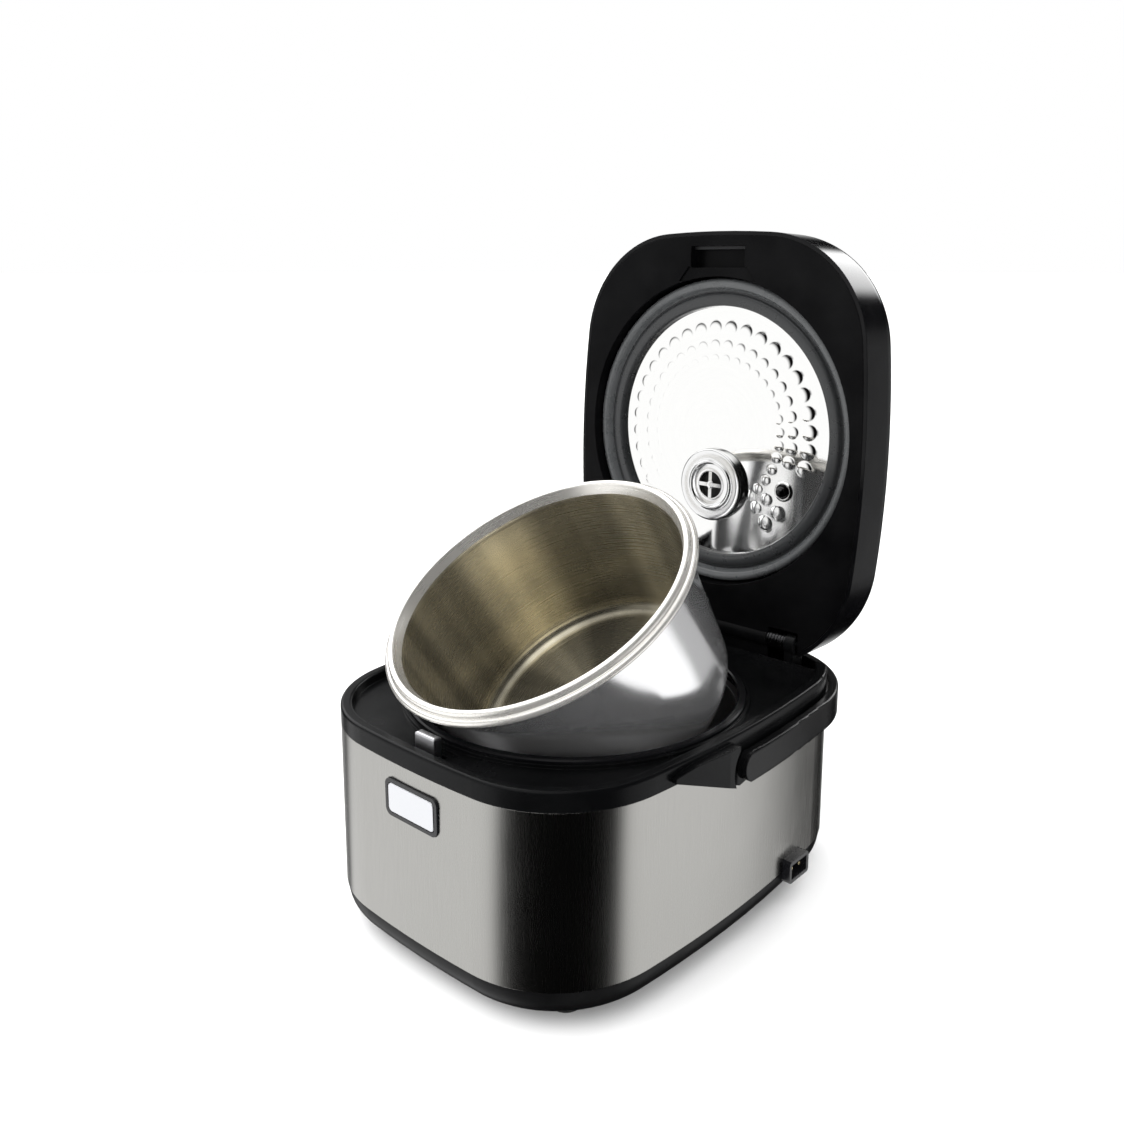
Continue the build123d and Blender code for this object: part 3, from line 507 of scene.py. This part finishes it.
def make_plate():
    bm = bmesh.new()
    spots = dimple_spots()
    near = {}
    for spot in spots:
        cell = (int(spot[0] // 20), int(spot[1] // 20))
        for i in (-1, 0, 1):
            for j in (-1, 0, 1):
                near.setdefault((cell[0] + i, cell[1] + j), []).append(spot)
    radii = [0, 10, 18, 26, 34, 42, 48, 52] + [53 + 0.75 * i for i in range(47)]
    radii += [90, 94, PLATE_R_MM]
    rings = []
    for r in radii:
        ring = []
        for k in range(PLATE_SEGMENTS):
            a = 2 * pi * k / PLATE_SEGMENTS
            x, y = r * cos(a), r * sin(a)
            z = plate_height(x, y, near.get((int(x // 20), int(y // 20)), []))
            ring.append(bm.verts.new((x * MM, y * MM, z * MM)))
        rings.append(ring)
    for low, high in zip(rings, rings[1:]):
        for k in range(PLATE_SEGMENTS):
            m = (k + 1) % PLATE_SEGMENTS
            corners = (low[k], high[k], high[m], low[m])
            cx = sum(v.co.x for v in corners) / 4 / MM
            cy = sum(v.co.y for v in corners) / 4 / MM
            if hypot(cx, cy - VENT_MM) < VENT_HOLE_R_MM:
                continue
            if hypot(cx - PROBE_MM[0], cy - PROBE_MM[1]) < PROBE_HOLE_R_MM:
                continue
            bm.faces.new(corners)
    add_revolved(bm, [(PLATE_R_MM, PLATE_MM), (118.0, PLATE_MM)], segments=PLATE_SEGMENTS)
    low = dome_mm(hypot(*PROBE_MM))
    lip = rounded([(5.4, low + 1.4), (5.4, low - 0.9), (6.2, low - 1.3),
                   (7.2, low - 0.9), (8.0, low + 0.1)])
    add_revolved(bm, lip, 48, at=PROBE_MM)
    looks = [plate_mirror]
    return piece("plate_sheet", bm, plate_place, "lid", looks, ["inner_plate"], 60)


make_plate()


# ---------------------------------------------------------------- seal, vent and sensor of the lid
SEAL_SEGMENTS = 200


def make_gasket():
    """Round seal: a lip by the plate, painted darker as shade, a groove, and a crest in the seal's
    own paler grey that meets the pot.
    """
    bm = bmesh.new()
    lip = [(98.6, 168.0), (98.6, 165.2), (99.6, 163.9), (101.4, 163.4), (104.4, 163.5),
           (107.2, 163.9), (108.2, 164.6), (108.8, 166.0), (110.4, 166.3)]
    crest = [(110.4, 166.3), (111.4, 165.4), (112.2, 163.2), (113.2, 161.8), (115.2, 161.0),
             (117.4, 161.0), (118.9, 161.9), (119.7, 163.6), (120.2, 166.0), (120.3, 168.0)]
    add_revolved(bm, rounded(lip, 2), SEAL_SEGMENTS)
    add_revolved(bm, rounded(crest, 2), SEAL_SEGMENTS, zone=1)
    looks = [seal_lip_painted_shade, seal_rubber]
    return piece("seal_ring", bm, plate_place, "lid", looks, ["lid_gasket"], 40)


def add_spoke(bm, angle, length, width, z0, z1, at):
    """A thin bar across the vent's middle."""
    corners = []
    for z in (z0, z1):
        for u, v in ((-length, -width), (length, -width), (length, width), (-length, width)):
            x = u * cos(angle) - v * sin(angle) + at[0]
            y = u * sin(angle) + v * cos(angle) + at[1]
            corners.append(bm.verts.new((x * MM, y * MM, z * MM)))
    for i in range(4):
        j = (i + 1) % 4
        bm.faces.new((corners[i], corners[j], corners[j + 4], corners[i + 4]))
    bm.faces.new(corners[0:4])
    bm.faces.new(corners[4:8])


def make_vent():
    """Round steam cap: a flat skirt, a raised ring, and four quarter slots in a shallow dish."""
    bm = bmesh.new()
    at = (0.0, VENT_MM)
    low = dome_mm(VENT_MM) - 0.4
    face = low - 6.5
    skirt = rounded([(29.0, low + 1.5), (29.0, low - 3.6), (28.6, face + 0.9),
                     (27.6, face + 0.1), (26.0, face), (21.5, face + 0.3), (20.0, face + 0.3),
                     (19.3, face - 0.3), (18.3, face - 0.5), (17.4, face - 0.1),
                     (16.8, face + 0.5), (13.0, face + 0.9), (11.2, face + 0.8),
                     (10.6, face + 1.0), (10.4, face + 2.6)], 2)
    add_revolved(bm, skirt, 128, at=at)
    add_revolved(bm, [(10.6, face + 2.4), (10.6, face + 5.5), (0, face + 5.5)], 64, zone=1, at=at)
    hub = rounded([(0, face + 0.5), (2.6, face + 0.5), (3.4, face + 0.9), (3.5, face + 2.4)], 2)
    add_revolved(bm, hub, 48, at=at)
    for angle in (0.0, pi / 2):
        add_spoke(bm, angle, 10.5, 1.5, face + 0.7, face + 2.4, at)
    looks = [vent_mirror, vent_dark]
    return piece("vent_cover", bm, plate_place, "lid", looks, ["vent_cap"], 40)


make_gasket()
make_vent()


# ---------------------------------------------------------------- coil springs
COIL_SIDES = 8
COIL_STEPS = 28             # rings of the wire in one turn of the coil


def make_spring(name, node, axis, fixed_side, wire_mm, turns):
    """A coil along y (axis 1) or z (axis 2), drawn at the CAD spring's full length."""
    low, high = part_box(node)
    centre = middle(node)
    wire = wire_mm * MM
    radius = (high[0] - low[0]) / 2 - wire
    length = high[axis] - low[axis]
    steps = turns * COIL_STEPS
    bm = bmesh.new()
    rings = []
    for i in range(steps + 1):
        turn = 2 * pi * turns * i / steps
        along = low[axis] + wire + (length - 2 * wire) * i / steps
        ring = []
        for k in range(COIL_SIDES):
            a = 2 * pi * k / COIL_SIDES
            out = radius + wire * cos(a)
            point = [centre.x + out * cos(turn), centre.y, centre.z]
            point[3 - axis] += out * sin(turn)
            point[axis] = along + wire * sin(a)
            ring.append(bm.verts.new(point))
        rings.append(ring)
    for first, second in zip(rings, rings[1:]):
        for k in range(COIL_SIDES):
            m = (k + 1) % COIL_SIDES
            bm.faces.new((first[k], first[m], second[m], second[k]))
    bm.faces.new(rings[0][::-1])
    bm.faces.new(rings[-1])
    bmesh.ops.recalc_face_normals(bm, faces=bm.faces)
    looks = [spring_steel]
    spring = piece(name, bm, Matrix.Identity(4), "body", looks, [node], 50)
    anchor = list(centre)
    anchor[axis] = (low, high)[fixed_side][axis]
    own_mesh(spring)


make_spring("sensor_coil", "sensor_spring", 2, 0, 0.6, 6)
make_spring("latch_coil", "latch_spring", 1, 1, 0.5, 5)


# ---------------------------------------------------------------- floor, light and camera
def make_floor():
    """A wide pale floor that runs on to the horizon."""
    mesh = bpy.data.meshes.new("floor")
    bm = bmesh.new()
    add_revolved(bm, [(r / MM, 0) for r in (0.0, 1.0, 4.0, 16.0, 60.0)], 96)
    bmesh.ops.remove_doubles(bm, verts=bm.verts, dist=1e-5)
    bm.to_mesh(mesh)
    bm.free()
    mesh.shade_smooth()
    look = Look("floor_pale")
    smear = look.noise(look.object_coords, 3.0, 3.0)
    cloudy = look.spread(smear, 0.3, 0.7, 0.0, 1.0)
    colour = look.mixed(cloudy, (0.86, 0.86, 0.86), (0.88, 0.88, 0.88))
    mesh.materials.append(look.finish(colour, 0.7))
    floor = bpy.data.objects.new("floor", mesh)
    bpy.context.scene.collection.objects.link(floor)
    floor.visible_glossy = False


make_floor()


def area_light(name, place, target, size, power, glossy=True, colour=(1, 1, 1)):
    light = bpy.data.lights.new(name, "AREA")
    light.shape = "RECTANGLE"
    light.size, light.size_y = size
    light.energy = power
    light.color = colour
    lamp = bpy.data.objects.new(name, light)
    lamp.location = place
    lamp.rotation_euler = (Vector(target) - Vector(place)).to_track_quat("-Z", "Y").to_euler()
    lamp.visible_glossy = glossy
    bpy.context.scene.collection.objects.link(lamp)


def sky_light(direction, strength, spread_deg):
    """Even soft light from one side of the sky, which reflections don't show."""
    light = bpy.data.lights.new("sky", "SUN")
    light.energy = strength
    light.angle = radians(spread_deg)
    lamp = bpy.data.objects.new("sky", light)
    lamp.rotation_euler = Vector(direction).to_track_quat("-Z", "Y").to_euler()
    lamp.visible_glossy = False
    bpy.context.scene.collection.objects.link(lamp)


sky_light((0.1, 0.1, -1.0), 3.6, 140)
area_light("left_soft", (-1.3, -1.2, 0.8), (0, 0, 0.2), (1.0, 1.2), 12.0, glossy=False)
area_light("right_soft", (1.4, -0.5, 0.35), (0.0, 0.0, 0.25), (0.9, 0.9), 16.0, glossy=False)

# Soft boxes that the camera itself doesn't see, only reflections and soft light do. Each has
# its direction, the cosines of where its edge ends and begins, and its strength.
SOFT_BOXES = [
    ((-0.60, -0.79, -0.12), 0.82, 0.92, 1.45),
    ((-0.62, -0.45, -0.643), 0.80, 0.89, 1.4),
    ((0.73, 0.53, -0.44), 0.855, 0.95, 1.4),
    ((0.34, 0.93, -0.14), 0.94, 0.985, 0.5),
    ((-0.75, 0.05, 0.66), 0.82, 0.95, 3.2),
    ((-0.25, 0.10, 0.96), 0.80, 0.93, 0.8),
    ((-0.10, -0.50, 0.85), 0.80, 0.95, 1.8),
    ((0.0, 0.88, 0.48), 0.955, 0.985, 9.0),
    ((-0.7, 0.7, -0.25), 0.80, 0.92, 0.9),
]


def make_world():
    world = bpy.data.worlds.new("studio")
    world.use_nodes = True
    tree = world.node_tree
    tree.nodes.clear()
    coords = tree.nodes.new("ShaderNodeTexCoord").outputs["Generated"]
    total = None
    for direction, outer, inner, strength in SOFT_BOXES:
        dot = tree.nodes.new("ShaderNodeVectorMath")
        dot.operation = "DOT_PRODUCT"
        dot.inputs[1].default_value = Vector(direction).normalized()
        tree.links.new(coords, dot.inputs[0])
        edge = tree.nodes.new("ShaderNodeMapRange")
        edge.interpolation_type = "SMOOTHSTEP"
        limits = {"From Min": outer, "From Max": inner, "To Min": 0.0, "To Max": strength}
        for key, number in limits.items():
            edge.inputs[key].default_value = number
        tree.links.new(dot.outputs["Value"], edge.inputs["Value"])
        if total is None:
            total = edge.outputs[0]
        else:
            added = tree.nodes.new("ShaderNodeMath")
            added.operation = "MAXIMUM"
            tree.links.new(total, added.inputs[0])
            tree.links.new(edge.outputs[0], added.inputs[1])
            total = added.outputs[0]
    base = tree.nodes.new("ShaderNodeMath")
    base.inputs[1].default_value = 0.004
    tree.links.new(total, base.inputs[0])
    soft = tree.nodes.new("ShaderNodeBackground")
    tree.links.new(base.outputs[0], soft.inputs["Strength"])
    seen = tree.nodes.new("ShaderNodeBackground")
    seen.inputs["Color"].default_value = (1.0, 1.0, 1.0, 1.0)
    path = tree.nodes.new("ShaderNodeLightPath")
    mix = tree.nodes.new("ShaderNodeMixShader")
    tree.links.new(path.outputs["Is Camera Ray"], mix.inputs[0])
    tree.links.new(soft.outputs[0], mix.inputs[1])
    tree.links.new(seen.outputs[0], mix.inputs[2])
    output = tree.nodes.new("ShaderNodeOutputWorld")
    tree.links.new(mix.outputs[0], output.inputs[0])
    bpy.context.scene.world = world


make_world()
bpy.context.scene.view_settings.view_transform = "Standard"

camera = bpy.data.cameras.new("camera")
camera.sensor_width = 36.0
camera.lens = 34.3
camera.shift_x = -0.0281
camera.shift_y = -0.0826
eye = bpy.data.objects.new("camera", camera)
eye.location = (0.4843, -0.5580, 0.4431)
eye.rotation_euler = Vector((-0.6521, 0.7347, -0.1873)).to_track_quat("-Z", "Y").to_euler()
bpy.context.scene.collection.objects.link(eye)
bpy.context.scene.camera = eye
